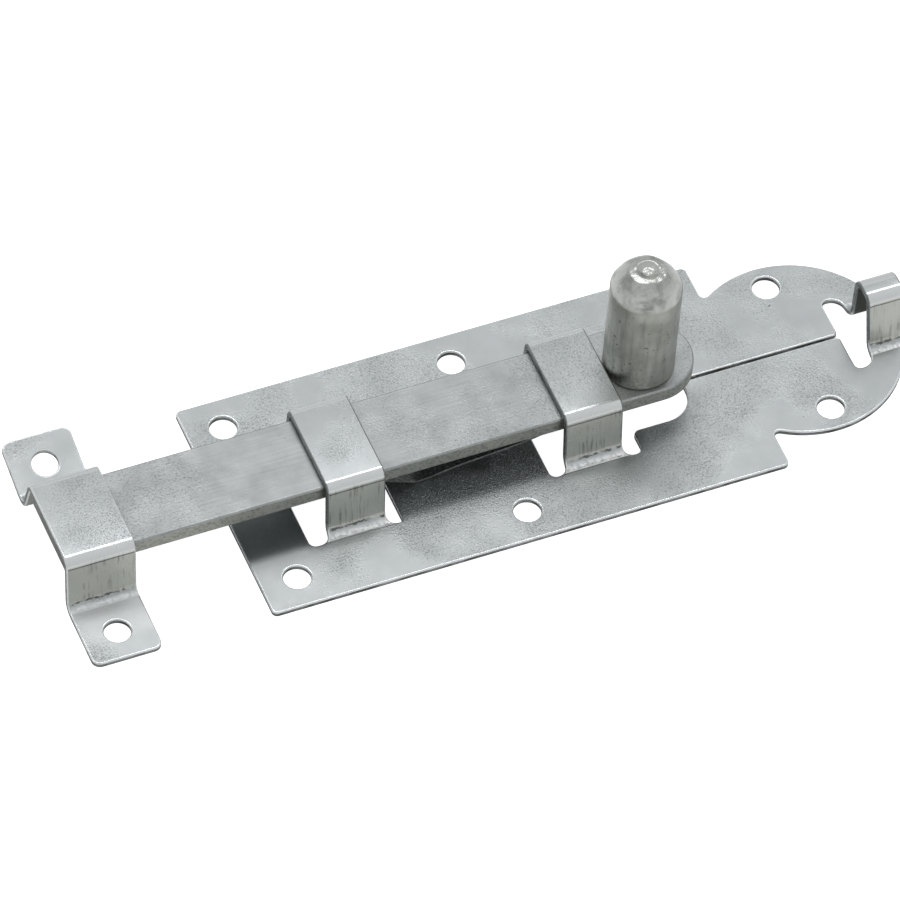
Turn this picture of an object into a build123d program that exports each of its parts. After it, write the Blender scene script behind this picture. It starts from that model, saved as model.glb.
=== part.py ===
# Sliding bolt on a pressed steel plate, with its strap keeper.
# Millimetres. X runs along the bolt towards the round head, Y across it, Z up from the mounting face.
# The origin is on the mounting face, at the centre of the four screw holes of the rectangular end.
from build123d import *

import os
from math import atan2, cos, degrees, hypot, radians, sin, sqrt, tan

os.makedirs("parts", exist_ok=True)

# Sheet that the plate and the keeper are pressed from, and how far a bent foot runs on into its flat
sheet = 1.5
lap = 0.2

# Plate outline
plate_width = 59.4
plate_length = 121.8
corner_radius = 1.3
head_radius = 23.9
head_centre_reach = 14.3
shoulder_radius = 1.2

# Screw holes
screw_hole = 6.2
hole_pitch_x = 54.0
hole_pitch_y = 44.0
hole_to_left_edge = 8.5
head_hole_pitch = 36.2
head_hole_shift = 0.5

# Bolt bar
bar_width = 20.0
bar_thickness = 4.0
bar_lift = 8.35
bar_beyond_plate = 40.7
bar_beyond_knob = 12.8

# Straps that guide the bar
strap_width = 13.6
strap_pitch = 56.0
strap_1_x = -9.7
strap_top_clearance = 0.35
strap_side_clearance = 0.45
strap_lean = 1.42
strap_top_bend = 0.6
strap_base_bend = 4.0
strap_flare = 2.3

# Openings beside the straps
relief_left_of_1 = 4.6
relief_right_of_1 = 3.3
relief_left_of_2 = 4.0
relief_right_of_2 = 4.1
relief_round = 1.6
relief_corner = 0.4
window_length = 19.7
window_width = 18.8
window_round = 7.0
lobe_round = 1.5
slit = 0.8
slit_round = 0.9

# End loop that stops the bar
loop_start_reach = 14.9
loop_width = 8.7
loop_near_top = 1.9
loop_near_lean = 3.0
loop_far_top = 2.6
loop_far_lean = 0.4
loop_near_top_bend = 1.0
loop_far_top_bend = 1.9
loop_near_base_bend = 3.5
loop_far_base_bend = 5.2
loop_relief = 4.6
loop_relief_width = 20.2
loop_relief_round = 1.4
loop_foot_round = 3.0
stop_clearance = 0.3

# Knob and its riveted shank
knob_diameter = 16.0
knob_height = 26.3
knob_cone_height = 5.7
knob_cone_bulge = 0.4
knob_face_diameter = 8.4
knob_centre_mark = 2.6
knob_mark_depth = 0.5
knob_base_chamfer = 0.3
knob_to_strap = 0.2
knob_off_centre = 0.9
shank_diameter = 6.0
shank_clearance = 0.05
rivet_head_diameter = 9.6
rivet_face_diameter = 7.6
rivet_head_height = 1.3

# Leaf spring under the bar
spring_thickness = 0.6
spring_width = 14.0
spring_to_plate = 0.3
spring_beyond_knob = 7.0
spring_flat = 9.3
spring_knee_run = 21.0
spring_knee_height = 2.95
spring_heel_run = 15.0
spring_heel_height = 1.45
spring_toe_run = 8.8
spring_toe_depth = 0.3
spring_tip_run = 9.5
spring_tip_height = 4.4
spring_flat_bend = 25.0
spring_knee_bend = 50.0
spring_heel_bend = 60.0
spring_toe_bend = 6.0

# Keeper
keeper_width = 16.0
keeper_x = -68.8
keeper_clearance = 0.3
keeper_lean = 1.42
keeper_far_lean = 3.25
keeper_far_lift = 3.3
keeper_far_tilt = 15.0
keeper_foot = 17.7
keeper_far_foot = 16.0
keeper_hole = 6.0
keeper_hole_from_end = 7.2
keeper_corner = 2.0
keeper_top_bend = 0.8
keeper_base_bend = 3.5

# Small breaks on cut edges
edge_break = 0.3

# Places that follow from the sizes
plate_left = -hole_pitch_x / 2 - hole_to_left_edge
plate_right = plate_left + plate_length
head_x = plate_right + head_centre_reach
strap_2_x = strap_1_x + strap_pitch
bar_under = sheet + bar_lift
bar_top = bar_under + bar_thickness
strap_inside = bar_top + strap_top_clearance
strap_top_half = bar_width / 2 + strap_side_clearance
strap_base_half = strap_top_half + strap_lean
strap_right = strap_2_x + strap_width / 2
knob_x = strap_right + knob_to_strap + knob_diameter / 2
knob_y = -knob_off_centre
bar_left = plate_left - bar_beyond_plate
bar_right = knob_x + bar_beyond_knob
loop_start = head_x + loop_start_reach
loop_near_base = loop_near_top + loop_near_lean
loop_far_base = loop_far_top + loop_far_lean


def bend_length(radius, lean, rise):
    """Length that a bend of this radius takes from the sharp corner, on a wall that leans outwards."""
    turn = 90.0 - degrees(atan2(lean, rise))
    return radius * tan(radians(turn / 2))


strap_reach = strap_base_half + bend_length(strap_base_bend, strap_lean, strap_inside)
loop_near_reach = loop_near_base + bend_length(loop_near_base_bend, loop_near_lean, strap_inside)
loop_far_reach = loop_far_base + bend_length(loop_far_base_bend, loop_far_lean, strap_inside)
travel = loop_start - bar_right - stop_clearance


def nearest(sketch, x, y):
    """The corner of a sketch that lies nearest to a point."""
    return sketch.vertices().sort_by_distance((x, y, 0))[0]


# The narrow loop bent up at the end of the head, one leg upright and one sloping, with its end cut to the rim
with BuildPart() as end_loop:
    with BuildSketch(Plane.YZ.offset(loop_start - loop_foot_round)):
        with BuildLine():
            FilletPolyline(
                (-loop_near_reach - lap, 0),
                (-loop_near_base, 0),
                (-loop_near_top, strap_inside),
                (loop_far_top, strap_inside),
                (loop_far_base, 0),
                (loop_far_reach + lap, 0),
                radius=(loop_near_base_bend, loop_near_top_bend, loop_far_top_bend, loop_far_base_bend),
            )
            offset(amount=sheet, side=Side.LEFT)
        make_face()
    extrude(amount=loop_width + loop_foot_round)
    with BuildSketch():
        with Locations((head_x, 0)):
            Circle(head_radius)
    extrude(amount=strap_inside + sheet, mode=Mode.INTERSECT)

# Back plate: two flat halves, joined only by two straps and the end loop
with BuildPart() as back_plate:
    with BuildSketch() as outline:
        with Locations(((plate_left + plate_right) / 2, 0)):
            RectangleRounded(plate_length, plate_width, corner_radius)
        with Locations((head_x, 0)):
            Circle(head_radius)
        notch_y = sqrt(head_radius**2 - head_centre_reach**2)
        for side in (-1, 1):
            fillet(nearest(outline, plate_right, side * notch_y), shoulder_radius)
    extrude(amount=sheet)

    # Screw holes: four in the rectangle and two in the head
    with BuildSketch():
        with GridLocations(hole_pitch_x, hole_pitch_y, 2, 2):
            Circle(screw_hole / 2)
        with Locations((head_x + head_hole_shift, 0)):
            with GridLocations(1, head_hole_pitch, 1, 2):
                Circle(screw_hole / 2)
    extrude(amount=sheet, mode=Mode.SUBTRACT)

    # Room for the metal that is bent up into the straps and the loop
    with BuildSketch():
        for x in (strap_1_x, strap_2_x):
            with Locations((x, 0)):
                Rectangle(strap_width + 2 * strap_flare, 2 * strap_reach)
        room_x = loop_start - loop_foot_round + head_radius / 2
        with Locations((room_x, (loop_far_reach - loop_near_reach) / 2)):
            Rectangle(head_radius, loop_near_reach + loop_far_reach)
    extrude(amount=sheet, mode=Mode.SUBTRACT)
    add(end_loop.part)

    # The two straps, bent from the plate's own sheet and still wide at the edges
    for x in (strap_1_x, strap_2_x):
        with BuildSketch(Plane.YZ.offset(x - strap_width / 2 - strap_flare)):
            with BuildLine():
                FilletPolyline(
                    (-strap_reach - lap, 0),
                    (-strap_base_half, 0),
                    (-strap_top_half, strap_inside),
                    (strap_top_half, strap_inside),
                    (strap_base_half, 0),
                    (strap_reach + lap, 0),
                    radius=(strap_base_bend, strap_top_bend, strap_top_bend, strap_base_bend),
                )
                offset(amount=sheet, side=Side.LEFT)
            make_face()
        extrude(amount=strap_width + 2 * strap_flare)

    # Reliefs that cut the straps and the loop to width, the window, and the slit between the halves
    with BuildSketch() as openings:
        strap_1_edges = (strap_1_x - strap_width / 2, strap_1_x + strap_width / 2)
        strap_2_edges = (strap_2_x - strap_width / 2, strap_2_x + strap_width / 2)
        strap_1_ends = (strap_1_edges[0] - relief_left_of_1, strap_1_edges[1] + relief_right_of_1)
        strap_2_ends = (strap_2_edges[0] - relief_left_of_2, strap_2_edges[1] + relief_right_of_2)
        window_end = strap_right + window_length
        loop_relief_start = loop_start - loop_relief
        for edges, ends in ((strap_1_edges, strap_1_ends), (strap_2_edges, strap_2_ends)):
            for edge, end in zip(edges, ends):
                with Locations(((edge + end) / 2, 0)):
                    Rectangle(abs(end - edge), 2 * strap_reach)
        with Locations(((strap_right + window_end) / 2, 0)):
            Rectangle(window_length, window_width)
        with Locations((loop_start - loop_relief / 2, 0)):
            Rectangle(loop_relief, loop_relief_width)
        for start, stop in (
            (plate_left - slit, strap_1_ends[0]),
            (strap_1_ends[1], strap_2_ends[0]),
            (window_end, loop_relief_start),
        ):
            with Locations(((start + stop) / 2, 0)):
                Rectangle(stop - start + slit, slit)
        for side in (-1, 1):
            corners = (
                (strap_1_ends[0], strap_reach, relief_round),
                (strap_1_edges[0], strap_reach, strap_flare),
                (strap_1_edges[1], strap_reach, strap_flare),
                (strap_1_ends[1], strap_reach, relief_corner),
                (strap_2_ends[0], strap_reach, relief_round),
                (strap_2_edges[0], strap_reach, strap_flare),
                (strap_2_edges[1], strap_reach, strap_flare),
                (strap_2_ends[1], strap_reach, relief_round),
                (strap_2_ends[1], window_width / 2, lobe_round),
                (window_end, window_width / 2, window_round),
                (window_end, slit / 2, slit_round),
                (loop_relief_start, slit / 2, slit_round),
                (loop_relief_start, loop_relief_width / 2, loop_relief_round),
                (loop_start, loop_relief_width / 2, loop_foot_round),
            )
            for x, y, radius in corners:
                fillet(nearest(openings, x, side * y), radius)
    extrude(amount=strap_inside + sheet, mode=Mode.SUBTRACT)

# Bolt bar: flat bar, square at the keeper's end and round at the knob's end
with BuildPart() as bolt_bar:
    with BuildSketch(Plane.XY.offset(bar_under)):
        round_x = bar_right - bar_width / 2
        with Locations(((bar_left + round_x) / 2, 0)):
            Rectangle(round_x - bar_left, bar_width)
        with Locations((round_x, 0)):
            Circle(bar_width / 2)
        with Locations((knob_x, knob_y)):
            Circle(shank_diameter / 2 + shank_clearance, mode=Mode.SUBTRACT)
    extrude(amount=bar_thickness)
    for face in (bolt_bar.faces().sort_by(Axis.Z)[-1], bolt_bar.faces().sort_by(Axis.Z)[0]):
        chamfer(face.outer_wire().edges(), edge_break)

# Knob: turned cylinder with a blunt conical end, its shank riveted under the spring
with BuildPart() as knob:
    spring_under = bar_under - spring_thickness
    shoulder = bar_top + knob_height
    top = shoulder + knob_cone_height
    radius = knob_diameter / 2
    face_radius = knob_face_diameter / 2
    cone_length = hypot(radius - face_radius, knob_cone_height)
    middle = (
        (radius + face_radius) / 2 + knob_cone_bulge * knob_cone_height / cone_length,
        (shoulder + top) / 2 + knob_cone_bulge * (radius - face_radius) / cone_length,
    )
    with BuildSketch(Plane(origin=(knob_x, knob_y, 0), x_dir=(1, 0, 0), z_dir=(0, -1, 0))):
        with BuildLine():
            Polyline(
                (radius, shoulder),
                (radius, bar_top + knob_base_chamfer),
                (radius - knob_base_chamfer, bar_top),
                (shank_diameter / 2, bar_top),
                (shank_diameter / 2, spring_under),
                (rivet_head_diameter / 2, spring_under),
                (rivet_face_diameter / 2, spring_under - rivet_head_height),
                (0, spring_under - rivet_head_height),
                (0, top - knob_mark_depth),
                (knob_centre_mark / 2, top),
                (face_radius, top),
            )
            ThreePointArc((face_radius, top), middle, (radius, shoulder))
        make_face()
    revolve(axis=Axis((knob_x, knob_y, 0), (0, 0, 1)))

# Leaf spring: flat under the knob, bowed down to the plate, its tip turned up
with BuildPart() as leaf_spring:
    lowest = sheet + spring_to_plate
    spring_knee_x = knob_x - spring_flat - spring_knee_run
    spring_heel_x = spring_knee_x - spring_heel_run
    spring_toe_x = spring_heel_x - spring_toe_run
    with BuildSketch(Plane.XZ):
        with BuildLine():
            FilletPolyline(
                (spring_toe_x - spring_tip_run, lowest + spring_tip_height),
                (spring_toe_x, lowest - spring_toe_depth),
                (spring_heel_x, lowest + spring_heel_height),
                (spring_knee_x, lowest + spring_knee_height),
                (knob_x - spring_flat, spring_under),
                (knob_x + spring_beyond_knob, spring_under),
                radius=(spring_toe_bend, spring_heel_bend, spring_knee_bend, spring_flat_bend),
            )
            offset(amount=spring_thickness, side=Side.LEFT)
        make_face()
    extrude(amount=spring_width / 2, both=True)
    with BuildSketch(Plane.XY.offset(spring_under)):
        with Locations((knob_x, knob_y)):
            Circle(shank_diameter / 2 + shank_clearance)
    extrude(amount=spring_thickness, mode=Mode.SUBTRACT)

# Keeper: a bent strap with two feet; its far foot stands up a little from the ground
with BuildPart() as keeper:
    keeper_inside = bar_top + keeper_clearance
    near_top = strap_top_half
    far_base = near_top + keeper_far_lean
    tilt = radians(keeper_far_tilt)
    far_end = (far_base + keeper_far_foot * cos(tilt), keeper_far_lift + keeper_far_foot * sin(tilt))
    near_end = -near_top - keeper_lean - keeper_foot
    with BuildSketch(Plane.YZ.offset(keeper_x - keeper_width / 2)):
        with BuildLine():
            FilletPolyline(
                (near_end, 0),
                (-near_top - keeper_lean, 0),
                (-near_top, keeper_inside),
                (near_top, keeper_inside),
                (far_base, keeper_far_lift),
                far_end,
                radius=(keeper_base_bend, keeper_top_bend, keeper_top_bend, keeper_base_bend),
            )
            offset(amount=sheet, side=Side.LEFT)
        make_face()
    extrude(amount=keeper_width)

    # Foot corners and screw holes, square to each foot
    hole_reach = keeper_far_foot - keeper_hole_from_end
    far_hole = (keeper_x, far_base + hole_reach * cos(tilt), keeper_far_lift + hole_reach * sin(tilt))
    far_plane = Plane(origin=far_hole, x_dir=(1, 0, 0), z_dir=(0, -sin(tilt), cos(tilt)))
    near_plane = Plane(origin=(keeper_x, near_end + keeper_hole_from_end, 0))
    for plane in (near_plane, far_plane):
        with BuildSketch(plane):
            Circle(keeper_hole / 2)
        extrude(amount=sheet, mode=Mode.SUBTRACT)
    near_corners = keeper.edges().filter_by(Axis.Z).sort_by(Axis.Y)[:2]
    fillet(near_corners, keeper_corner)
    far_axis = Axis((0, 0, 0), (0, -sin(tilt), cos(tilt)))
    far_corners = keeper.edges().filter_by(far_axis).sort_by(Axis.Y)[-2:]
    fillet(far_corners, keeper_corner)

for name, piece in (
    ("back_plate", back_plate),
    ("bolt_bar", bolt_bar),
    ("knob", knob),
    ("leaf_spring", leaf_spring),
    ("keeper", keeper),
):
    piece.part.label = name
    export_step(piece.part, f"parts/{name}.step")

print("bolt travel", round(travel, 2), "mm, knob height", round(top, 2), "mm")
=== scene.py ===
# %% [markdown]
# A sliding bolt, dressed for its portrait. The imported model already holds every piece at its
# real size and place. This script gives each piece the soft edges, the tool marks and the
# zinc finish that the real one has, then sets a pale floor, soft light and a camera.
#
# Everything is in metres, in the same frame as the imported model: X runs along the bolt
# towards the round head, Y across it, and Z up from the mounting face. The sizes of small
# things are written in millimetres, and MM turns them to metres where they are used.

from math import cos, hypot, inf, radians, sin

import bmesh
import bpy
from mathutils import Matrix, Vector


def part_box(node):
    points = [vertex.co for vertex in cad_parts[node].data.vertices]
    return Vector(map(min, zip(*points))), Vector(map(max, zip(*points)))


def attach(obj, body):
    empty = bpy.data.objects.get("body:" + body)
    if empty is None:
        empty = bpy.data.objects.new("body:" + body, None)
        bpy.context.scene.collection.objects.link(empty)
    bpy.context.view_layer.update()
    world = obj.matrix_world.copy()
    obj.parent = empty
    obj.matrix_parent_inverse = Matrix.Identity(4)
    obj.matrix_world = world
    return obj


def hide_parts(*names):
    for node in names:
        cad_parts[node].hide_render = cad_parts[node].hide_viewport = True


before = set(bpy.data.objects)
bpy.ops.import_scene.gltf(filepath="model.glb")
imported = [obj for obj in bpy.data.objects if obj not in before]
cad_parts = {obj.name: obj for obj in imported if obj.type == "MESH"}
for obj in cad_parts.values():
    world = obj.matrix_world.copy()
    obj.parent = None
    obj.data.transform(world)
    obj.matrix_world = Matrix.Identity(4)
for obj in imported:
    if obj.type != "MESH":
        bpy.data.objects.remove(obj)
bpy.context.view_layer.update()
MM = 0.001
print("nodes:", ", ".join(sorted(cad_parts)))

# %% [markdown]
# The camera stands in front of the bolt and to its left, and looks down at it steeply through
# a long lens, so that lines which are parallel on the object stay nearly parallel in the
# picture. It is rolled a little, which is why the upright knob leans. A camera could be turned
# by hand until it fits. Here its three axes are worked out from those angles, and its place
# from how far back it stands, so that each number means something.

# %% Camera
LOOK_AT = Vector((17.425, -0.749, 1.5)) * MM
AZIMUTH = radians(25.946)
ELEVATION = radians(51.404)
ROLL = radians(4.766)
DISTANCE = 2063.3 * MM
SENSOR = 36  # mm, as Blender gives a camera's own sizes
LENS = 377  # mm
NEAREST = 0.05  # m

forward = Vector((sin(AZIMUTH) * cos(ELEVATION), cos(AZIMUTH) * cos(ELEVATION), -sin(ELEVATION)))
level_right = forward.cross(Vector((0, 0, 1))).normalized()
level_up = level_right.cross(forward)
right = cos(ROLL) * level_right + sin(ROLL) * level_up
up = cos(ROLL) * level_up - sin(ROLL) * level_right

camera = bpy.data.objects.new("camera", bpy.data.cameras.new("camera"))
camera.data.sensor_width = SENSOR
camera.data.lens = LENS
camera.data.clip_start = NEAREST
axes = Matrix((right, up, -forward)).transposed()
camera.matrix_world = Matrix.LocRotScale(LOOK_AT - forward * DISTANCE, axes.to_quaternion(), None)
bpy.context.scene.collection.objects.link(camera)
bpy.context.scene.camera = camera
print("camera at", [round(v, 3) for v in camera.location])

# %% [markdown]
# Two helpers serve every finish. One turns the hex colour that a painter would pick into the
# linear numbers that the renderer wants. The other adds a node with its settings and links,
# so that a material reads as a list of what it is made of.

# %% Colours and nodes


def linear(hex_colour):
    """Linear RGBA from an sRGB hex colour such as #B0B4B6."""
    channels = [int(hex_colour[i : i + 2], 16) / 255 for i in (1, 3, 5)]
    return [c / 12.92 if c <= 0.04045 else ((c + 0.055) / 1.055) ** 2.4 for c in channels] + [1.0]


def add(tree, kind, links=None, **settings):
    """A new node with its settings, and each named input set to a value or linked to a socket."""
    node = tree.nodes.new(kind)
    for name, value in settings.items():
        setattr(node, name, value)
    for socket, value in (links or {}).items():
        if isinstance(value, bpy.types.NodeSocket):
            tree.links.new(value, node.inputs[socket])
        else:
            node.inputs[socket].default_value = value
    return node


print("a mid grey in linear numbers:", [round(c, 3) for c in linear("#808080")])

# %% [markdown]
# A finish is built up from a few moves, and each could be wired by hand every time. As
# functions they read like the steps that they stand for. The first are plain arithmetic: one
# sum, a mask where several others hold at once, a value stretched between two limits, and a
# value that gives way to another.

# %% Sums, masks and ramps


def sums(tree, operation, *values):
    """One step of arithmetic on values or sockets."""
    return add(tree, "ShaderNodeMath", dict(enumerate(values)), operation=operation).outputs[0]


def all_of(tree, mask, *others):
    """Where this mask and all the others hold."""
    for other in others:
        mask = sums(tree, "MULTIPLY", mask, other)
    return mask


def ramp(tree, value, low, high, out_low=0.0, out_high=1.0):
    """A value stretched so that low becomes out_low and high becomes out_high."""
    ends = {"Value": value, "From Min": low, "From Max": high, "To Min": out_low, "To Max": out_high}
    return add(tree, "ShaderNodeMapRange", ends).outputs[0]


def blend(tree, where, value, other):
    """A value that becomes the other one where the mask is one."""
    return add(tree, "ShaderNodeMix", {0: where, 2: value, 3: other}).outputs[0]


def parts_of(tree, vector):
    """The X, Y and Z of a vector, by name."""
    return add(tree, "ShaderNodeSeparateXYZ", {0: vector}).outputs


# %% [markdown]
# Nothing on a real piece is even, so every mark comes from a noise, whose features get their
# size in millimetres. A picture of the marks could do the same, but it would repeat, and blur
# when one looks closely. A noise can be stretched, so that its features are long one way, which
# is how every scratch and streak here is made.
#
# A noise stays near 0.5 and hardly leaves the range from 0.3 to 0.7. So the two limits of a
# ramp after a noise say how much of the surface a mark takes, and how soft its edge is: limits
# close to 0.5 give marks on about half of it, and limits close together give a crisp edge.

# %% Noises with a size
NOISE_LOW, NOISE_HIGH = 0.3, 0.7


def per_metre(size_mm):
    """The texture scale that makes one feature of a pattern this many millimetres wide."""
    return 1 / (size_mm * MM)


def noise(tree, place, size_mm, detail=3.0):
    """Soft random values about 0.5, in features of this size."""
    texture = {"Vector": place, "Scale": per_metre(size_mm), "Detail": detail}
    return add(tree, "ShaderNodeTexNoise", texture).outputs[0]


def stretched(tree, place, sizes_mm, detail=3.0):
    """The same noise, in features of these sizes along X, Y and Z."""
    scale = [per_metre(size) for size in sizes_mm]
    drawn_out = add(tree, "ShaderNodeMapping", {"Vector": place, "Scale": scale})
    texture = {"Vector": drawn_out.outputs[0], "Scale": 1.0, "Detail": detail}
    return add(tree, "ShaderNodeTexNoise", texture).outputs[0]


print("a pattern of 0.4 mm has a scale of", per_metre(0.4))

# %% [markdown]
# Colours are laid on like coats of thin paint: each covers the ones below it where its mask is
# one, as strongly as it is told. They could all be mixed in one sum, but in coats each can be
# changed without touching the rest.

# %% Paint


def paint(tree, colour, hex_colour, where, strength=1.0):
    """A colour, painted over with another where the mask is one, this strongly."""
    amount = sums(tree, "MULTIPLY", where, strength)
    mix = {0: amount, 6: colour, 7: linear(hex_colour)}
    return add(tree, "ShaderNodeMix", mix, data_type="RGBA").outputs[2]


# %% [markdown]
# Every finish on this bolt is bare or plated metal, so all of them begin and end alike. They
# begin with the object's own coordinates, which keep a pattern on the metal when the bolt
# slides. They end in a metal shader, whose relief is a Bump: a height that only bends the
# light, which is enough for marks a few hundredths of a millimetre deep. A metal's IOR stays
# as it is, because its colour says how it mirrors.

# %% How a metal begins and ends


def new_metal(name):
    """An empty material, its node tree, its object coordinates and its object normals."""
    material = bpy.data.materials.new(name)
    material.use_nodes = True
    tree = material.node_tree
    tree.nodes.clear()
    coordinates = add(tree, "ShaderNodeTexCoord").outputs
    return material, tree, coordinates["Object"], coordinates["Normal"]


def close_metal(tree, colour, gloss, height, depth_mm):
    """The shader at the end of a metal, with its relief this deep."""
    bump = add(tree, "ShaderNodeBump", {"Height": height, "Distance": depth_mm * MM}).outputs[0]
    metal = {"Base Color": colour, "Metallic": 1.0, "Roughness": gloss, "Normal": bump}
    shader = add(tree, "ShaderNodeBsdfPrincipled", metal).outputs[0]
    add(tree, "ShaderNodeOutputMaterial", {"Surface": shader})


def show(material):
    """Prints a finish, and gives it back."""
    print("finish", material.name, "has", len(material.node_tree.nodes), "nodes")
    return material


# %% [markdown]
# Zinc plating is a thin bright metal coat. New, it is bluish grey and satin, and its skin is a
# fine grain of tiny facets, some lighter and some darker; the lighter ones are painted glints,
# colour that stands for facets catching the light. The grain comes in patches, with smooth metal
# between them. Larger clouds come from the bath, and a few dark specks are pits that the zinc
# didn't fill. The grain could be a Voronoi pattern of facets, but so fine it can't be told from
# a noise, and a noise is softer. Every finish here starts from this ground, which takes its own
# colours, then adds the marks of how the piece was made and, in places, painted light and shade.
#
# The facets of real zinc are about a tenth of a millimetre wide, finer than one point of the
# picture, so the grain is drawn several times coarser than it is.

# %% Zinc ground
CLOUD = 7.0  # mm, as all sizes of a pattern are
PATCH = 24.0
FLECK = 0.9
PIT_PATCH = 9.0
BETWEEN_PATCHES = 0.04
PAINTED_GLINT = "#E8EBEB"
SUNK_STRENGTH = 0.5
PAINTED_GLINT_STRENGTH = 0.3


def zinc_ground(tree, place, light, dark, pit, grain_mm, pits, grit=1.0):
    """Clouded, grained and pitted colour of a zinc coat with painted glints, with its grain as a height
    and its clouds.
    """
    clouds = noise(tree, place, CLOUD, detail=5.0)
    colour = paint(tree, linear(light), dark, ramp(tree, clouds, NOISE_LOW, NOISE_HIGH))

    grain = noise(tree, place, grain_mm)
    busy = ramp(tree, noise(tree, place, PATCH, detail=2.0), 0.43, 0.58, out_low=BETWEEN_PATCHES)
    sunk = all_of(tree, ramp(tree, grain, 0.55, 0.65), busy)
    raised = all_of(tree, ramp(tree, grain, 0.43, 0.33), busy)
    colour = paint(tree, colour, pit, sunk, strength=SUNK_STRENGTH * grit)
    # Painted glints: the raised facets of the grain are painted near white, as if they caught the light.
    colour = paint(tree, colour, PAINTED_GLINT, raised, strength=PAINTED_GLINT_STRENGTH * grit)
    height = sums(tree, "MULTIPLY", sums(tree, "SUBTRACT", raised, sunk), 0.5)

    specks = ramp(tree, noise(tree, place, FLECK), 0.72 - pits, 0.78 - pits)
    patches = ramp(tree, noise(tree, place, PIT_PATCH, detail=1.0), 0.42, 0.56)
    colour = paint(tree, colour, pit, all_of(tree, specks, patches))
    return colour, height, clouds


print("clouds of", CLOUD, "mm, grain in patches of", PATCH, "mm")

# %% [markdown]
# Down the walls of the straps the press dragged, and drew fine upright scratches, in patches.
# They could be modelled, but they are a few hundredths of a millimetre deep, so a stretched
# noise does. Real ones are about a tenth of a millimetre wide, and are drawn wider here, so
# that they show.

# %% Scratches on the walls
SCRATCH_WIDTH = 0.6
SCRATCH_LENGTH = 9.0
SCRATCH_PATCH = 4.0


def drag_marks(tree, place, wall):
    """Where the upright scratches of the press are, on the walls."""
    through_the_sheet = inf
    scratches = stretched(tree, place, (SCRATCH_WIDTH, through_the_sheet, SCRATCH_LENGTH))
    patches = ramp(tree, noise(tree, place, SCRATCH_PATCH), 0.42, 0.6)
    return all_of(tree, ramp(tree, scratches, 0.5, 0.68), wall, patches)


print("scratches of", SCRATCH_WIDTH, "by", SCRATCH_LENGTH, "mm")

# %% [markdown]
# Where a fold ends and the wall begins runs a fine dark line of painted shade, and another,
# broken one runs above the foot: shade painted into the creases. A line could be cut into the
# mesh, but it would be as straight as the mesh. Here a crease is a narrow band of heights, and
# a noise added to the height makes it sway.

# %% Painted shade along the creases across the walls
FOLD_END = 13.3
FOOT_LINE = 2.7
SWAY_SIZE = 1.1
BREAK_SIZE = 1.6
PAINTED_CREASE_SHADE = "#3A3D3B"


def crease(tree, height, sway_noise, steep, middle_mm, sway_mm, width_mm):
    """Where a wall is crossed by a line at this height, with this much sway."""
    swaying = sums(tree, "MULTIPLY_ADD", sway_noise, sway_mm * MM, height)
    line = sums(tree, "COMPARE", swaying, (middle_mm + sway_mm / 2) * MM, width_mm * MM)
    return all_of(tree, line, ramp(tree, steep, 0.5, 0.7))


def crease_shade_lines(tree, colour, place, height, steep):
    """The colour with painted shade: a whole dark line under the fold, and a broken one above the foot.
    """
    sway = noise(tree, place, SWAY_SIZE, detail=2.0)
    # Painted shade: both lines darken the creases of the walls.
    under_fold = crease(tree, height, sway, steep, FOLD_END, sway_mm=0.3, width_mm=0.16)
    colour = paint(tree, colour, PAINTED_CREASE_SHADE, under_fold, strength=0.7)
    above_foot = crease(tree, height, sway, steep, FOOT_LINE, sway_mm=0.9, width_mm=0.24)
    unbroken = ramp(tree, noise(tree, place, BREAK_SIZE, detail=2.0), 0.4, 0.55)
    return paint(tree, colour, PAINTED_CREASE_SHADE, all_of(tree, above_foot, unbroken), strength=0.75)


print("creases", FOLD_END, "and", FOOT_LINE, "mm above the mounting face")

# %% [markdown]
# In the hollow at the foot of each wall the metal was crushed: it is crumpled there, and painted
# bright, a painted highlight. In front of it, on the keeper's near foot, the press scuffs the flat
# matt, so that it hardly mirrors the wall above it, and it is painted lighter, as painted light.
# The crumpling could be sculpted, but a foot is only two millimetres high, so it is relief. Both
# marks are found by place: the hollow by its height and its slope, the matt flat by how far out
# it lies.

# %% Marks at the feet, with a painted highlight and painted light
FOOT_TOP = 3.6
HIGHLIGHT_PATCH = 0.8
SCUFF_FROM, SCUFF_TO = -17.0, -25.0
KEEPER_END = -50.0
FLAT_TOP = 2.5


def foot_of_wall(tree, height, steep):
    """Where a wall bends into its foot."""
    low = ramp(tree, height, FOOT_TOP * MM, (FOOT_TOP - 1) * MM)
    return all_of(tree, low, ramp(tree, steep, 0.02, 0.1))


def painted_highlight_in_hollow(tree, place, foot, steep):
    """Where the hollow of that bend gets its painted highlight, unevenly so."""
    uneven = ramp(tree, noise(tree, place, HIGHLIGHT_PATCH), 0.38, 0.55, out_low=0.35)
    return all_of(tree, foot, ramp(tree, steep, 0.75, 0.35), uneven)


def scuffed_flat_with_painted_light(tree, place, facing):
    """Where the keeper's near foot is matt from a scuff and painted lighter, less so away from the bend.
    """
    at = parts_of(tree, place)
    beside_bend = ramp(tree, at["Y"], SCUFF_TO * MM, SCUFF_FROM * MM)
    on_keeper = sums(tree, "LESS_THAN", at["X"], KEEPER_END * MM)
    on_flat = sums(tree, "LESS_THAN", at["Z"], FLAT_TOP * MM)
    level = sums(tree, "GREATER_THAN", facing["Z"], 0.9)
    return all_of(tree, beside_bend, on_keeper, on_flat, level)


print("feet up to", FOOT_TOP, "mm, the near one scuffed for", SCUFF_FROM - SCUFF_TO, "mm")
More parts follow.
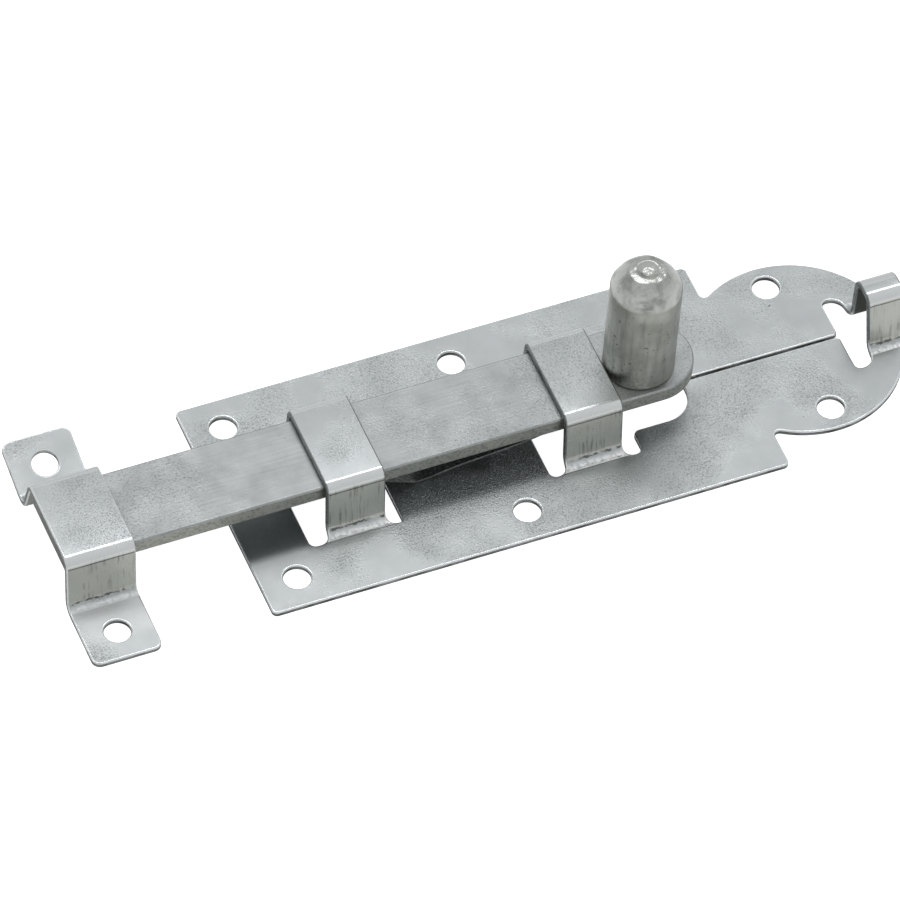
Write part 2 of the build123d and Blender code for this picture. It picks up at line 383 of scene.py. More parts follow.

# %% [markdown]
# Zinc plated rolled sheet is what the plate, its straps and the keeper are made of. Its flats
# keep the plain ground, satin, with a roughness of about 0.3. Where it was folded, the press
# stretched and polished the coat, so it is glossier, and it is painted near white there, a
# painted highlight. Its walls are painted a little lighter and warmer, as painted light. Inside
# the narrow loop it is painted nearly black, as painted shade.
#
# The finish could be split over several materials, but their borders would be hard lines. So
# it is one, which finds the walls by the direction of their normals. The folds and the inside
# of the loop have no such rule, so the pieces will carry an attribute for each.

# %% Zinc plated rolled sheet
CRUMPLE = 1.0
POLISH_PATCH = 2.2
PAINTED_WALL_LIGHT = "#CFD0C6"
SCRATCH_GREY = "#6E7069"
PAINTED_FOOT_HIGHLIGHT = "#FAFBFB"
PAINTED_LIGHT_ON_SCUFF = "#F4F6F6"
PAINTED_FOLD_HIGHLIGHT = "#F0F2F2"
PAINTED_LOOP_SHADE = "#3A3D3B"
SCUFFED_GLOSS = 0.65
SCRATCH_RELIEF = -0.4  # against the grain's own, which is one
CRUMPLE_RELIEF = 4.0


def rolled_sheet():
    """Zinc plated rolled sheet: polished folds with a painted highlight, scratched walls with painted
    light, painted shade in creases and in the loop, and crumpled feet.
    """
    material, tree, place, normal = new_metal("zinc_plated_rolled_sheet")
    colour, grain, clouds = zinc_ground(
        tree, place, light="#BDC1C2", dark="#ADB1B2", pit="#6E7374", grain_mm=0.4, pits=0.0, grit=0.9
    )
    fold = add(tree, "ShaderNodeAttribute", attribute_name="fold").outputs["Fac"]
    hollow = add(tree, "ShaderNodeAttribute", attribute_name="hollow").outputs["Fac"]
    facing = parts_of(tree, normal)
    steep = sums(tree, "ABSOLUTE", facing["Y"])
    height = parts_of(tree, place)["Z"]
    wall = ramp(tree, steep, 0.8, 0.95)
    dragged = drag_marks(tree, place, wall)
    foot = foot_of_wall(tree, height, steep)
    scuffed_and_painted_light = scuffed_flat_with_painted_light(tree, place, facing)

    # Painted light: the walls are painted lighter and warmer.
    colour = paint(tree, colour, PAINTED_WALL_LIGHT, wall, strength=0.75)
    colour = paint(tree, colour, SCRATCH_GREY, dragged, strength=0.6)
    # Painted shade in the creases under the fold and above the foot.
    colour = crease_shade_lines(tree, colour, place, height, steep)
    # Painted highlight: the crumpled hollow at each foot is painted near white.
    colour = paint(tree, colour, PAINTED_FOOT_HIGHLIGHT, painted_highlight_in_hollow(tree, place, foot, steep))
    # Painted light: the matt flat of the keeper's near foot is painted lighter.
    colour = paint(tree, colour, PAINTED_LIGHT_ON_SCUFF, scuffed_and_painted_light, strength=0.7)
    # Painted highlight: the folds are painted near white.
    colour = paint(tree, colour, PAINTED_FOLD_HIGHLIGHT, fold, strength=0.6)
    # Painted shade: the inside of the loop is painted nearly black.
    colour = paint(tree, colour, PAINTED_LOOP_SHADE, hollow, strength=0.85)

    satin = ramp(tree, clouds, NOISE_LOW, NOISE_HIGH, 0.28, 0.34)
    polish = ramp(tree, noise(tree, place, POLISH_PATCH), 0.35, 0.65, 0.18, 0.24)
    gloss = blend(tree, scuffed_and_painted_light, blend(tree, fold, satin, polish), SCUFFED_GLOSS)

    # Relief: grain, ironed out on the folds, cut by the scratches and crumpled at the feet
    ironed = ramp(tree, fold, 0.0, 1.0, out_low=1.0, out_high=0.2)
    relief = sums(tree, "MULTIPLY_ADD", dragged, SCRATCH_RELIEF, all_of(tree, grain, ironed))
    crumple = all_of(tree, noise(tree, place, CRUMPLE, detail=2.0), foot)
    relief = sums(tree, "MULTIPLY_ADD", crumple, CRUMPLE_RELIEF, relief)
    close_metal(tree, colour, gloss, relief, depth_mm=0.07)
    return material


zinc_sheet = show(rolled_sheet())

# %% [markdown]
# The bar is hot rolled flat stock under the same zinc. Its top is calm and slightly greyer than
# the sheet, with a few faint lines along it from the rolls, drawn coarser than they are. Its
# narrow sides are painted a warmer tone, as painted light, and speckled darker, and its sawn end
# is painted dark, as painted shade. The three could be three materials. One that looks at which
# way the metal faces does the same, and fades from one to the other round the rolled edges.

# %% Zinc plated flat bar
ROLL_LINE_LENGTH = 15
ROLL_LINE_WIDTH = 0.5
SIDE_SPECKLE = 0.7
PAINTED_SIDE_LIGHT = "#B7B8AE"
SIDE_SPECKLE_GREY = "#5E605A"
PAINTED_END_SHADE = "#50534F"
LINE_RELIEF = 0.4


def flat_bar_finish():
    """Zinc plated flat bar, its sides painted a warmer tone as painted light, and its sawn end painted
    dark as painted shade.
    """
    material, tree, place, normal = new_metal("zinc_plated_flat_bar")
    colour, grain, clouds = zinc_ground(
        tree, place, light="#B1B4B4", dark="#999C9C", pit="#676C6D", grain_mm=0.45, pits=0.01, grit=0.6
    )
    facing = parts_of(tree, normal)
    side = ramp(tree, sums(tree, "ABSOLUTE", facing["Z"]), 0.1, 0.6, out_low=1.0, out_high=0.0)
    side_speckles = ramp(tree, noise(tree, place, SIDE_SPECKLE, detail=4.0), 0.48, 0.62)
    shaded_end = ramp(tree, facing["X"], -0.9, -0.97)
    # Painted light: the sides are tinted warmer by the way they face, and then speckled darker.
    colour = paint(tree, colour, PAINTED_SIDE_LIGHT, side, strength=0.8)
    colour = paint(tree, colour, SIDE_SPECKLE_GREY, all_of(tree, side, side_speckles), strength=0.4)
    # Painted shade: the end that faces back along the bolt is painted dark.
    colour = paint(tree, colour, PAINTED_END_SHADE, shaded_end, strength=0.8)

    gloss = ramp(tree, clouds, NOISE_LOW, NOISE_HIGH, 0.3, 0.4)
    lines = stretched(tree, place, (ROLL_LINE_LENGTH, ROLL_LINE_WIDTH, ROLL_LINE_WIDTH))
    relief = sums(tree, "MULTIPLY_ADD", lines, LINE_RELIEF, grain)
    close_metal(tree, colour, gloss, relief, depth_mm=0.05)
    return material


zinc_bar = show(flat_bar_finish())

# %% [markdown]
# The knob was turned from round bar and left rough. Its body is darker and a little warmer
# than the sheet, pitted in places, with blotches and with streaks along it, where the bar was
# drawn through a die. The cone at its end was cut later, so it is paler and glossier, with a
# few smudges. It dulls again towards the tip, where hands and hammers touch it. The bands could
# be marked on the mesh, but height alone tells them apart.

# %% Zinc over turned steel
SHOULDER = 40.15
TIP = 45.85
STREAK_WIDTH = 1.2
STREAK_LENGTH = 14
SMUDGE = 3.2
STREAK_GREY = "#62645D"
CONE_TINT = "#E6E7E4"
SMUDGE_GREY = "#5F625F"
HANDLED_GREY = "#7A7C7A"
TIP_GREY = "#888A88"
CUT_GLOSS = 0.24
TIP_GLOSS = 0.3
STREAK_RELIEF = 0.7


def turned_finish():
    """Zinc over rough turned steel: blotches, streaks along the knob, and dark pits."""
    material, tree, place, _ = new_metal("zinc_over_turned_steel")
    colour, grain, clouds = zinc_ground(
        tree, place, light="#C9CAC2", dark="#A0A199", pit="#62645C", grain_mm=0.7, pits=0.075
    )
    height = parts_of(tree, place)["Z"]
    cone = ramp(tree, height, (SHOULDER - 0.2) * MM, (SHOULDER + 0.4) * MM)
    upper_cone = ramp(tree, height, (SHOULDER + 2.0) * MM, (TIP - 0.5) * MM)
    tip = ramp(tree, height, (TIP - 0.4) * MM, (TIP - 0.1) * MM)

    streaks = stretched(tree, place, (STREAK_WIDTH, STREAK_WIDTH, STREAK_LENGTH), detail=4.0)
    less_on_cone = ramp(tree, cone, 0.0, 1.0, out_low=0.3, out_high=0.1)
    streaked = all_of(tree, ramp(tree, streaks, 0.47, 0.68), less_on_cone)
    smudges = ramp(tree, noise(tree, place, SMUDGE, detail=6.0), 0.48, 0.68)
    colour = paint(tree, colour, STREAK_GREY, streaked)
    colour = paint(tree, colour, CONE_TINT, cone, strength=0.55)
    colour = paint(tree, colour, SMUDGE_GREY, all_of(tree, smudges, cone), strength=0.5)
    colour = paint(tree, colour, HANDLED_GREY, upper_cone, strength=0.3)
    colour = paint(tree, colour, TIP_GREY, tip, strength=0.3)

    satin = ramp(tree, clouds, NOISE_LOW, NOISE_HIGH, 0.28, 0.45)
    gloss = blend(tree, tip, blend(tree, cone, satin, CUT_GLOSS), TIP_GLOSS)
    relief = sums(tree, "MULTIPLY_ADD", streaks, STREAK_RELIEF, grain)
    close_metal(tree, colour, gloss, relief, depth_mm=0.05)
    return material


turned_steel = show(turned_finish())

# %% [markdown]
# A punch cuts a smooth band into the sheet, then the rest breaks away. So a cut face is part
# smooth, part torn, and grey, because zinc only half covers it. The tears could be real
# geometry, but the face is only 1.5 mm high. A noise does, stretched along the edge, because
# the tears are longer along it than across.

# %% Zinc over a sheared edge
TEAR_LENGTH = 4
TEAR_HEIGHT = 0.7
TORN_GREY = "#3F4241"
TORN_GLOSS = 0.42
TEAR_RELIEF = -1.5


def sheared_finish():
    """A punched edge: a smooth pale band where the punch cut, torn and dark where it broke through."""
    material, tree, place, _ = new_metal("zinc_over_sheared_edge")
    colour, grain, _ = zinc_ground(
        tree, place, light="#A5A9A8", dark="#858988", pit="#4D5050", grain_mm=0.35, pits=0.05
    )
    tears = stretched(tree, place, (TEAR_LENGTH, TEAR_LENGTH, TEAR_HEIGHT), detail=4.0)
    torn = ramp(tree, tears, 0.46, 0.56)
    colour = paint(tree, colour, TORN_GREY, torn, strength=0.8)
    relief = sums(tree, "MULTIPLY_ADD", torn, TEAR_RELIEF, grain)
    close_metal(tree, colour, TORN_GLOSS, relief, depth_mm=0.05)
    return material


sheared_edge = show(sheared_finish())

# %% [markdown]
# The rolled rim between a cut face and the flat is painted near white, a painted highlight, so
# it draws a bright line round the plate. On the raised straps the rims are painted darker, as
# painted shade. The keeper's rims get only a little of that painted shade, so they are pale all
# over. The rims could share the sheet's finish, but the bright line would then be lost in its
# grain.

# %% Painted highlight and shade on the edges
PAINTED_RIM_SHADE = "#7C8080"
RIM_GLOSS = 0.24


def rim_highlight_finish(name, rim_shade):
    """The rolled rim of an edge, painted pale as a painted highlight, and darkened this much by painted
    shade where it is raised off the flat.
    """
    material, tree, place, _ = new_metal(name)
    # Painted highlight: the rim's own colours are near white.
    colour, grain, _ = zinc_ground(
        tree, place, light="#F2F4F4", dark="#E2E5E5", pit="#9A9E9E", grain_mm=0.5, pits=0.0
    )
    raised = ramp(tree, parts_of(tree, place)["Z"], FOOT_LINE * MM, (FOOT_LINE + 2) * MM)
    # Painted shade: the rims raised off the flat are darkened.
    colour = paint(tree, colour, PAINTED_RIM_SHADE, raised, strength=rim_shade)
    close_metal(tree, colour, RIM_GLOSS, grain, depth_mm=0.015)
    return material


plate_rim = show(rim_highlight_finish("zinc_with_painted_highlight_on_plate_edges", rim_shade=0.9))
keeper_rim = show(rim_highlight_finish("zinc_with_painted_highlight_on_keeper_edges", rim_shade=0.15))

# %% [markdown]
# The leaf spring is rolled strip, hardened and oiled rather than plated, so it is much darker
# than the rest, and shows only its grain and a few pits. It could have marks of its own, but
# little of it can be seen, in the gap under the bar, so it gets the plain ground in its greys.

# %% Oiled spring strip
OILED_GLOSS = 0.34


def spring_finish():
    """Dark oiled strip, with only its grain."""
    material, tree, place, _ = new_metal("oiled_spring_strip")
    colour, grain, _ = zinc_ground(
        tree, place, light="#8E918F", dark="#6C6F6D", pit="#3C3E3D", grain_mm=0.6, pits=0.06
    )
    close_metal(tree, colour, OILED_GLOSS, grain, depth_mm=0.02)
    return material


spring_strip = show(spring_finish())

# %% [markdown]
# The sheet's finish asks for two things that a material can't tell: which faces lie on a
# rounded fold, and which lie inside the loop. They could be picked by hand, but a rule holds
# when the model changes. A fold's facets are narrow, raised above the flat, and turn gently
# into their neighbours. The faces inside the loop are near the middle and look inwards. A third
# rule finds broad flats, which are shaded flat so that no crease shows in them.

# %% Rules that tell faces apart
SHEET = 1.5 * MM
TURN = radians(2)
SHARP = radians(30)
FACET = 1.0 * MM
RAISED = 9.0 * MM
LOOP_HALF = 6.0 * MM
LEVEL = 0.9999
UPRIGHT = 0.2
OUTLINE_CORNERS = 12


def is_broad_flat(face):
    """True for a level face cut into a long outline, which is shaded flat to stay free of creases."""
    return abs(face.normal.z) > LEVEL and len(face.verts) > OUTLINE_CORNERS


def is_fold(face):
    """True for one narrow facet of a raised rounded fold: it turns gently into its neighbours."""
    longest = max(edge.calc_length() for edge in face.edges)
    narrow = face.calc_area() / longest < FACET
    gentle = any(TURN < edge.calc_face_angle() < SHARP for edge in face.edges)
    return narrow and gentle and face.calc_center_median().z > RAISED


def is_hollow(face):
    """True for a face that looks inwards in the narrow loop, which gets painted shade."""
    middle = face.calc_center_median()
    inwards = middle.y * face.normal.y < 0 and abs(face.normal.y) > UPRIGHT
    return inwards and abs(middle.y) < LOOP_HALF and middle.z > SHEET


# %% [markdown]
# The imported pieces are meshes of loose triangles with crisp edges. They could be dressed as
# they are, but nothing can round an edge between two triangles that don't share it. So each is
# copied, its triangles are joined and merged into whole faces, and every face gets what the
# rules say of it.

# %% From loose triangles to whole faces
MERGE = 0.0005 * MM
FLAT = radians(0.6)


def join_faces(work):
    """Joins loose triangles at their corners, and merges those that lie in one plane."""
    bmesh.ops.remove_doubles(work, verts=work.verts, dist=MERGE)
    bmesh.ops.dissolve_limit(work, angle_limit=FLAT, verts=work.verts, edges=work.edges)


def mark_faces(work):
    """Writes what the rules say of each face and edge, and counts the facets of folds."""
    fold = work.faces.layers.float.new("fold")
    hollow = work.faces.layers.float.new("hollow")
    for face in work.faces:
        face.smooth = not is_broad_flat(face)
        face[fold] = float(is_fold(face))
        face[hollow] = float(is_hollow(face))
    for edge in work.edges:
        edge.smooth = edge.is_manifold and edge.calc_face_angle() < SHARP
    return int(sum(face[fold] for face in work.faces))


def merged_copy(node, name):
    """A CAD node's mesh as one closed skin, its flat stretches joined into single faces."""
    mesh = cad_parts[node].data.copy()
    mesh.materials.clear()
    work = bmesh.new()
    work.from_mesh(mesh)
    join_faces(work)
    facets = mark_faces(work)
    print(name, "has", len(work.faces), "faces,", facets, "of them on folds")
    work.to_mesh(mesh)
    work.free()
    piece = bpy.data.objects.new(name, mesh)
    bpy.context.scene.collection.objects.link(piece)
    return piece


# %% [markdown]
# A punch rolls the edge of a sheet over before it breaks through, and plating rounds it again,
# so no edge on this bolt is sharp. That narrow roll is what draws a thin line of light along an
# edge. The edges could be rounded in the solids, but the roll would then be part of the size
# that fits. A Bevel modifier rounds whatever is sharp, and can give the roll a finish of its
# own. Its loop slide is off, because that throws long spikes where an edge meets another end on.

# %% Soft edges
ROLL_SEGMENTS = 3


def soften(piece, width_mm, rim=None):
    """Rounds the sharp edges of a piece, with a finish of their own where one is given."""
    bevel = piece.modifiers.new("rolled_edges", "BEVEL")
    bevel.width = width_mm * MM
    bevel.segments = ROLL_SEGMENTS
    bevel.limit_method = "ANGLE"
    bevel.angle_limit = SHARP
    bevel.use_clamp_overlap = False
    bevel.loop_slide = False
    bevel.harden_normals = True
    if rim:
        piece.data.materials.append(rim)
        bevel.material = len(piece.data.materials) - 1
    print(piece.name, "has edges rolled by", width_mm, "mm")


# %% [markdown]
# A finished piece takes its materials and then its place in the shared frame: it stands in for
# its CAD node, and moves with that node's body.
# These calls could follow each piece, but in one function they are the same for all.

# %% A place in the frame


def settle(piece, node, body, slot, *materials):
    """Gives a finished piece its materials, and lets it stand for its CAD node and move with its body."""
    for material in materials:
        piece.data.materials.append(material)
    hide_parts(node)
    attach(piece, body)
    low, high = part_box(node)
    print(piece.name, "stands for", node, [round(v / MM, 1) for v in high - low], "mm")


# %% [markdown]
# The faces that the punch cut are rougher and duller than the rolled skin. They could be picked
# by hand, but there are hundreds, so they are picked by a rule: below the sheet's top they
# stand upright, and on the raised straps they look along the bolt. The loop's far end was cut
# with the head's own round edge, so it is found by its distance from the head's centre.

# %% Faces that the punch cut
HEAD_X = 100.6 * MM
HEAD_RADIUS = 23.9 * MM
ALONG_BOLT = 0.9
ON_TOP = 0.01 * MM
ON_RIM = 0.1 * MM


def is_cut(face):
    """True for a face that the punch cut, on the plate or the keeper."""
    if abs(face.normal.z) > UPRIGHT:
        return False
    if abs(face.normal.x) > ALONG_BOLT:
        return True
    low = all(v.co.z < SHEET + ON_TOP for v in face.verts)
    on_rim = all(abs(hypot(v.co.x - HEAD_X, v.co.y) - HEAD_RADIUS) < ON_RIM for v in face.verts)
    return low or on_rim


def mark_cut_faces(piece):
    """Gives the cut faces of a sheet piece the second material, and counts them."""
    work = bmesh.new()
    work.from_mesh(piece.data)
    for face in work.faces:
        face.material_index = int(is_cut(face))
    count = sum(face.material_index for face in work.faces)
    work.to_mesh(piece.data)
    work.free()
    print(piece.name, "has", count, "cut faces")


# %% [markdown]
# The plate, its two straps and its end loop are one sheet of 1.5 mm steel, punched and then
# pressed up. The keeper is a strap of the same sheet. The solids already have their bends, so
# both are dressed copies of them, with the roll that the punch gave their edges.

# %% Plate and keeper
SHEET_ROLL = 0.34

plate = merged_copy("back_plate", "pressed_plate")
settle(plate, "back_plate", "plate", "zinc_sheet", zinc_sheet, sheared_edge)
mark_cut_faces(plate)
soften(plate, SHEET_ROLL, plate_rim)

keeper = merged_copy("keeper", "pressed_keeper")
settle(keeper, "keeper", "plate", "zinc_sheet", zinc_sheet, sheared_edge)
mark_cut_faces(keeper)
soften(keeper, SHEET_ROLL, keeper_rim)

# %% [markdown]
# The bar and the spring need only their merged skins and a narrow roll on their edges: hot
# rolled stock leaves the mill with corners that are barely rounded, and the spring strip was
# deburred. Their rolls keep the finish of the faces beside them.

# %% Bar and spring
BAR_ROLL = 0.14
SPRING_ROLL = 0.12

bar = merged_copy("bolt_bar", "flat_bar")
settle(bar, "bolt_bar", "bolt", "zinc_bar", zinc_bar)
soften(bar, BAR_ROLL)

spring = merged_copy("leaf_spring", "bowed_spring")
settle(spring, "leaf_spring", "bolt", "spring_steel", spring_strip)
soften(spring, SPRING_ROLL)

# %% [markdown]
# The knob is a turned piece: one outline, spun about its axis. The solid one could be copied as
# the others are, but its cone is too perfect, and its tip too plain. So it is made anew, from
# its own sizes, in millimetres out from the axis and up from the mounting face: the riveted end
# under the bar, the shank through it, the body, the cone, and a low nose with the dish that the
# lathe's centre left in it.

# %% Knob sizes
KNOB_X = 61.3
KNOB_Y = -0.9
BAR_TOP = 13.85
SPRING_UNDER = 9.25
RIVET_END = 7.95
RIVET_FACE = 3.8
RIVET_HEAD = 4.8
SHANK = 3.0
BODY = 8.0
CHAMFER = 0.3
TIP_FACE = 4.2
NOSE = 2.6
NOSE_RISE = 0.3
DISH = 1.2
DISH_DEPTH = 0.75
CONE_TOP = TIP - NOSE_RISE
print("knob:", 2 * BODY, "mm across, cone", round(CONE_TOP - SHOULDER, 2), "mm high")

# %% [markdown]
# The outline is a thin line of a few points. The cone could be one straight line, but a hand on
# the lathe lets it swell slightly, so it gets a few points, pushed out and up most in its middle.

# %% Knob outline
CONE_STEPS = 8
SWELL = 1.6
SWELL_OUT, SWELL_UP = 0.8, 0.5

outline = [
    (0, RIVET_END),
    (RIVET_FACE, RIVET_END),
    (RIVET_HEAD, SPRING_UNDER),
    (SHANK, SPRING_UNDER),
    (SHANK, BAR_TOP),
    (BODY - CHAMFER, BAR_TOP),
    (BODY, BAR_TOP + CHAMFER),
]
for step in range(CONE_STEPS + 1):
    along = step / CONE_STEPS
    swell = SWELL * along * (1 - along)
    out = BODY + (TIP_FACE - BODY) * along + SWELL_OUT * swell
    height = SHOULDER + (CONE_TOP - SHOULDER) * along + SWELL_UP * swell
    outline.append((out, height))
outline += [(NOSE, TIP), (DISH, TIP - DISH_DEPTH), (0, TIP - DISH_DEPTH)]

outline_mesh = bpy.data.meshes.new("knob_outline")
outline_points = [(out * MM, 0, height * MM) for out, height in outline]
outline_mesh.from_pydata(outline_points, [(i, i + 1) for i in range(len(outline) - 1)], [])
outline_host = bpy.data.objects.new("knob_outline", outline_mesh)
bpy.context.scene.collection.objects.link(outline_host)
print("knob outline:", len(outline), "points")

# %% [markdown]
# A Screw modifier could spin the outline, and a Displace modifier could dent it. A Geometry
# Nodes tree does both in one, and with its sizes as inputs the same tree would turn any other
# knob. This cell lists those inputs, and makes the first step: the thin line becomes a curve,
# and its corners are rounded, more so at the tip.

# %% Tree for turned pieces: inputs and rounded outline
CORNER_POINTS = 5
KNOB_INPUTS = {
    "Outline": "Geometry",
    "Axis": "Vector",
    "Turns": "Int",
    "Steps": "Int",
    "Corner Radius": "Float",
    "Tip Radius": "Float",
    "Tip From": "Float",
    "Body From": "Float",
    "Cone From": "Float",
    "Dent Size": "Float",
    "Body Dent": "Float",
    "Cone Dent": "Float",
    "Seed": "Float",
    "Material": "Material",
}


def new_tree(name, inputs):
    """An empty Geometry Nodes tree with these inputs, and the sockets that bring them in."""
    tree = bpy.data.node_groups.new(name, "GeometryNodeTree")
    for label, kind in inputs.items():
        tree.interface.new_socket(label, in_out="INPUT", socket_type="NodeSocket" + kind)
    tree.interface.new_socket("Piece", in_out="OUTPUT", socket_type="NodeSocketGeometry")
    return tree, add(tree, "NodeGroupInput").outputs


def here(tree):
    """The place of each point of the geometry that a node works on."""
    return add(tree, "GeometryNodeInputPosition").outputs[0]


def rounded_outline(tree, given):
    """The outline as a curve, its corners rounded, with another radius at the tip."""
    curve = add(tree, "GeometryNodeMeshToCurve", {0: given["Outline"]}).outputs[0]
    at_tip = sums(tree, "GREATER_THAN", parts_of(tree, here(tree))["Z"], given["Tip From"])
    radius = blend(tree, at_tip, given["Corner Radius"], given["Tip Radius"])
    corners = {"Curve": curve, "Count": CORNER_POINTS, "Radius": radius, "Limit Radius": True}
    return add(tree, "GeometryNodeFilletCurve", corners, mode="POLY").outputs[0]


print("inputs of the tree:", ", ".join(KNOB_INPUTS))

# %% [markdown]
# To spin the curve, the tree lays out a flat grid and reads one side of it as the turn about
# the axis, the other as the way along the curve. Every point of the grid then knows where it
# belongs. Where the two ends of the turn meet, and at both poles, points that fall together
# are merged, so the skin is closed.

# %% Tree for turned pieces: spin
HALF = 0.5  # the grid is one metre wide and starts half a metre before its middle


def spun_skin(tree, given, curve):
    """A closed skin, made by turning the curve about the axis."""
    sides = {"Size X": 1.0, "Size Y": 1.0, "Vertices X": given["Turns"], "Vertices Y": given["Steps"]}
    grid = add(tree, "GeometryNodeMeshGrid", sides).outputs["Mesh"]
    flat = parts_of(tree, here(tree))
    way = sums(tree, "ADD", flat["Y"], HALF)
    turn = sums(tree, "MULTIPLY", flat["X"], radians(360))
    sample = add(tree, "GeometryNodeSampleCurve", {"Curves": curve, "Factor": way}, mode="FACTOR")
    point = {"Vector": sample.outputs["Position"], "Angle": turn}
    spun = add(tree, "ShaderNodeVectorRotate", point, rotation_type="Z_AXIS").outputs[0]
    placed = add(tree, "ShaderNodeVectorMath", {0: spun, 1: given["Axis"]}, operation="ADD").outputs[0]
    wrapped = add(tree, "GeometryNodeSetPosition", {"Geometry": grid, "Position": placed}).outputs[0]
    joined = {"Geometry": wrapped, "Distance": MERGE}
    return add(tree, "GeometryNodeMergeByDistance", joined).outputs[0]


# %% [markdown]
# The dents are a noise, too. It sinks each point along the skin's own normal, deeper on the
# cone than on the body, and not at all on the shank, which has to fit. It only ever sinks, so
# the knob stays inside the size of the solid one. They are real geometry rather than relief,
# because the light on a cone this smooth would show the difference.

# %% Tree for turned pieces: dents, and the whole tree


def dented(tree, given, skin):
    """The skin, sunk by a noise where the body and the cone are."""
    place = here(tree)
    height = parts_of(tree, place)["Z"]
    on_body = sums(tree, "GREATER_THAN", height, given["Body From"])
    on_cone = sums(tree, "GREATER_THAN", height, given["Cone From"])
    scale = sums(tree, "DIVIDE", 1.0, given["Dent Size"])
    texture = {"Vector": place, "W": given["Seed"], "Scale": scale, "Detail": 2.0}
    waves = add(tree, "ShaderNodeTexNoise", texture, noise_dimensions="4D").outputs[0]
    sunk = ramp(tree, waves, NOISE_LOW, NOISE_HIGH)
    body_depth = sums(tree, "MULTIPLY", on_body, given["Body Dent"])
    depth = sums(tree, "MULTIPLY_ADD", on_cone, given["Cone Dent"], body_depth)
    inward = sums(tree, "MULTIPLY", all_of(tree, sunk, depth), -1.0)
    normal = add(tree, "GeometryNodeInputNormal").outputs[0]
    scaled = {0: normal, "Scale": inward}
    push = add(tree, "ShaderNodeVectorMath", scaled, operation="SCALE").outputs[0]
    return add(tree, "GeometryNodeSetPosition", {"Geometry": skin, "Offset": push}).outputs[0]


def spin_and_dent():
    """Geometry Nodes tree: spins an outline about an upright axis, then dents it by a noise."""
    tree, given = new_tree("spin_and_dent", KNOB_INPUTS)
    skin = dented(tree, given, spun_skin(tree, given, rounded_outline(tree, given)))
    smooth = add(tree, "GeometryNodeSetShadeSmooth", {"Geometry": skin}).outputs[0]
    real = add(tree, "GeometryNodeRealizeInstances", {"Geometry": smooth}).outputs[0]
    finish = {"Geometry": real, "Material": given["Material"]}
    done = add(tree, "GeometryNodeSetMaterial", finish).outputs[0]
    add(tree, "NodeGroupOutput", {"Piece": done})
    print(tree.name, "has", len(tree.nodes), "nodes")
    return tree


# %% [markdown]
# A tree only works through a modifier. The modifier gets this knob's sizes, each by the
# identifier of its input, and is evaluated once. What comes out is kept as a plain mesh, and
# the outline, which was only a pattern, is deleted with its modifier.

# %% Knob


def made_by(host, tree, settings, name):
    """The plain piece that a Geometry Nodes tree makes from a host with these settings."""
    modifier = host.modifiers.new("maker", "NODES")
    modifier.node_group = tree
    for item in tree.interface.items_tree:
        if item.in_out == "INPUT" and item.name in settings:
            modifier[item.identifier] = settings[item.name]
    host.update_tag()
    evaluated = host.evaluated_get(bpy.context.evaluated_depsgraph_get())
    mesh = bpy.data.meshes.new_from_object(evaluated)
    piece = bpy.data.objects.new(name, mesh)
    bpy.context.scene.collection.objects.link(piece)
    bpy.data.objects.remove(host)
    print(name, "has", len(mesh.polygons), "faces")
    return piece


knob_sizes = {
    "Axis": (KNOB_X * MM, KNOB_Y * MM, 0),
    "Turns": 145,  # a point every 2.5 degrees, and one that closes the turn
    "Steps": 380,  # a point about every 0.14 mm along the outline
    "Corner Radius": 0.25 * MM,
    "Tip Radius": 0.8 * MM,
    "Tip From": (CONE_TOP - 0.1) * MM,
    "Body From": (BAR_TOP + 1) * MM,
    "Cone From": (SHOULDER - 0.1) * MM,
    "Dent Size": 3.4 * MM,
    "Body Dent": 0.05 * MM,
    "Cone Dent": 0.22 * MM,
    "Seed": 3.0,
    "Material": turned_steel,
}
knob = made_by(outline_host, spin_and_dent(), knob_sizes, "turned_knob")
settle(knob, "knob", "bolt", "turned_steel")

# %% [markdown]
# Metal looks like what stands around it, so the light is mostly surroundings. One narrow
# light hangs overhead, lengthwise over the bolt, and draws the white line along each bend.
# It could be larger, but then the flat tops would mirror it too and turn white.

# %% Light
STRIP_AT = (0.1, 0.42, 1.0)  # m, as all sizes of the studio are
STRIP_LENGTH = 0.9
STRIP_WIDTH = 0.14
STRIP_POWER = 2


def softbox(name, place, width, height, power):
    """A soft white rectangular light at this place in metres, turned towards the bolt."""
    light = bpy.data.lights.new(name, "AREA")
    light.shape = "RECTANGLE"
    light.size = width
    light.size_y = height
    light.energy = power
    lamp = bpy.data.objects.new(name, light)
    lamp.location = place
    lamp.rotation_euler = (Vector(place) - LOOK_AT).to_track_quat("Z", "Y").to_euler()
    bpy.context.scene.collection.objects.link(lamp)
    print(name, "is", width, "by", height, "m, at", power, "W")


softbox("overhead_strip", STRIP_AT, STRIP_LENGTH, STRIP_WIDTH, STRIP_POWER)

# %% [markdown]
# Around the bolt stands a tent of pale cloth, lit from outside, which gives the flat tops their
# even grey. It is drawn here as the sky: brightest where it closes overhead, a little dimmer
# towards the table. The tent has a gap in its cloth, low down on the side where the picture is
# taken from. The gap is dark, and the knob's cone mirrors it as a darker sector between two
# bright ones, which is what makes it look round. It stays there whichever way one looks.

# %% Light tent
HORIZON = 0.68
CROWN = 0.75
CROWN_RISE = 0.9
GAP = 0.5
GAP_EDGE, GAP_MIDDLE = 0.9, 0.99
CLOTH = "#FDFEFF"

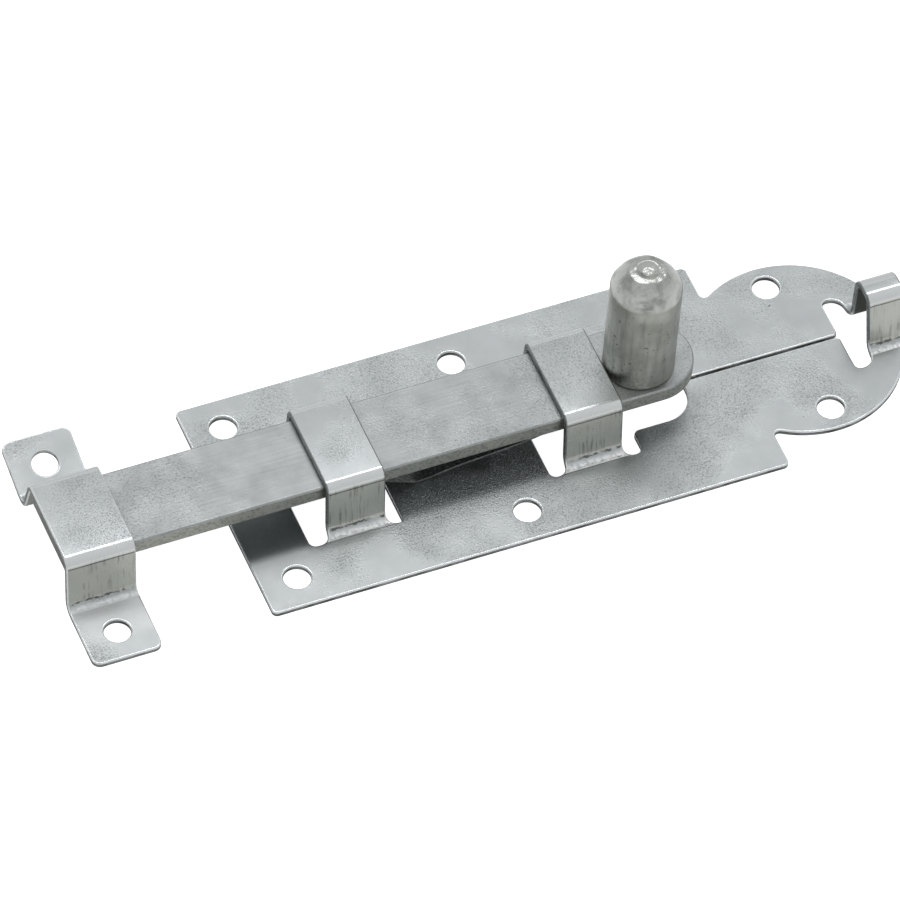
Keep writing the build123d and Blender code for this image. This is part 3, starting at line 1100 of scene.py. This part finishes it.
world = bpy.data.worlds.new("light_tent")
world.use_nodes = True
tree = world.node_tree
tree.nodes.clear()
direction = add(tree, "ShaderNodeTexCoord").outputs["Generated"]
cloth = ramp(tree, parts_of(tree, direction)["Z"], 0.0, CROWN_RISE, HORIZON, CROWN)
front = Vector((-sin(AZIMUTH), -cos(AZIMUTH), 0))
across = add(tree, "ShaderNodeVectorMath", {0: direction, 1: front}, operation="DOT_PRODUCT")
gap = ramp(tree, across.outputs["Value"], GAP_EDGE, GAP_MIDDLE, 1.0, GAP)
strength = all_of(tree, cloth, gap)
sky = add(tree, "ShaderNodeBackground", {"Color": linear(CLOTH), "Strength": strength})
add(tree, "ShaderNodeOutputWorld", {"Surface": sky.outputs[0]})
bpy.context.scene.world = world
print("tent:", HORIZON, "at the table,", CROWN, "at the crown,", GAP, "of that in the gap")

# %% [markdown]
# The floor is a sheet of matt white paper, a hair below the bolt, so large that its edge is
# never seen. In a picture taken for a shop the ground is exposed to plain white, with no shadow
# on it. More light would do that, but would burn out the metal. So the paper glows a little, but
# only for rays that come straight from the camera, and what the metal mirrors is plain paper.

# %% Floor
FLOOR_HALF = 3.0
FLOOR_DROP = 0.02 * MM
PAPER = "#F0F1F1"
PAPER_GLOW = 0.9

floor_mesh = bpy.data.meshes.new("floor")
floor_corners = [(x * FLOOR_HALF, y * FLOOR_HALF, 0) for x, y in ((-1, -1), (1, -1), (1, 1), (-1, 1))]
floor_mesh.from_pydata(floor_corners, [], [(0, 1, 2, 3)])
floor = bpy.data.objects.new("floor", floor_mesh)
floor.location.z = -FLOOR_DROP
bpy.context.scene.collection.objects.link(floor)

paper = bpy.data.materials.new("white_paper")
paper.use_nodes = True
tree = paper.node_tree
tree.nodes.clear()
seen = add(tree, "ShaderNodeLightPath").outputs["Is Camera Ray"]
matt = add(tree, "ShaderNodeBsdfDiffuse", {"Color": linear(PAPER)}).outputs[0]
glow = add(tree, "ShaderNodeEmission", {"Strength": PAPER_GLOW}).outputs[0]
lit = add(tree, "ShaderNodeAddShader", {0: matt, 1: glow}).outputs[0]
both = add(tree, "ShaderNodeMixShader", {0: seen, 1: matt, 2: lit}).outputs[0]
add(tree, "ShaderNodeOutputMaterial", {"Surface": both})
floor_mesh.materials.append(paper)

bpy.context.scene.view_settings.view_transform = "Standard"
print("floor:", 2 * FLOOR_HALF, "m square")
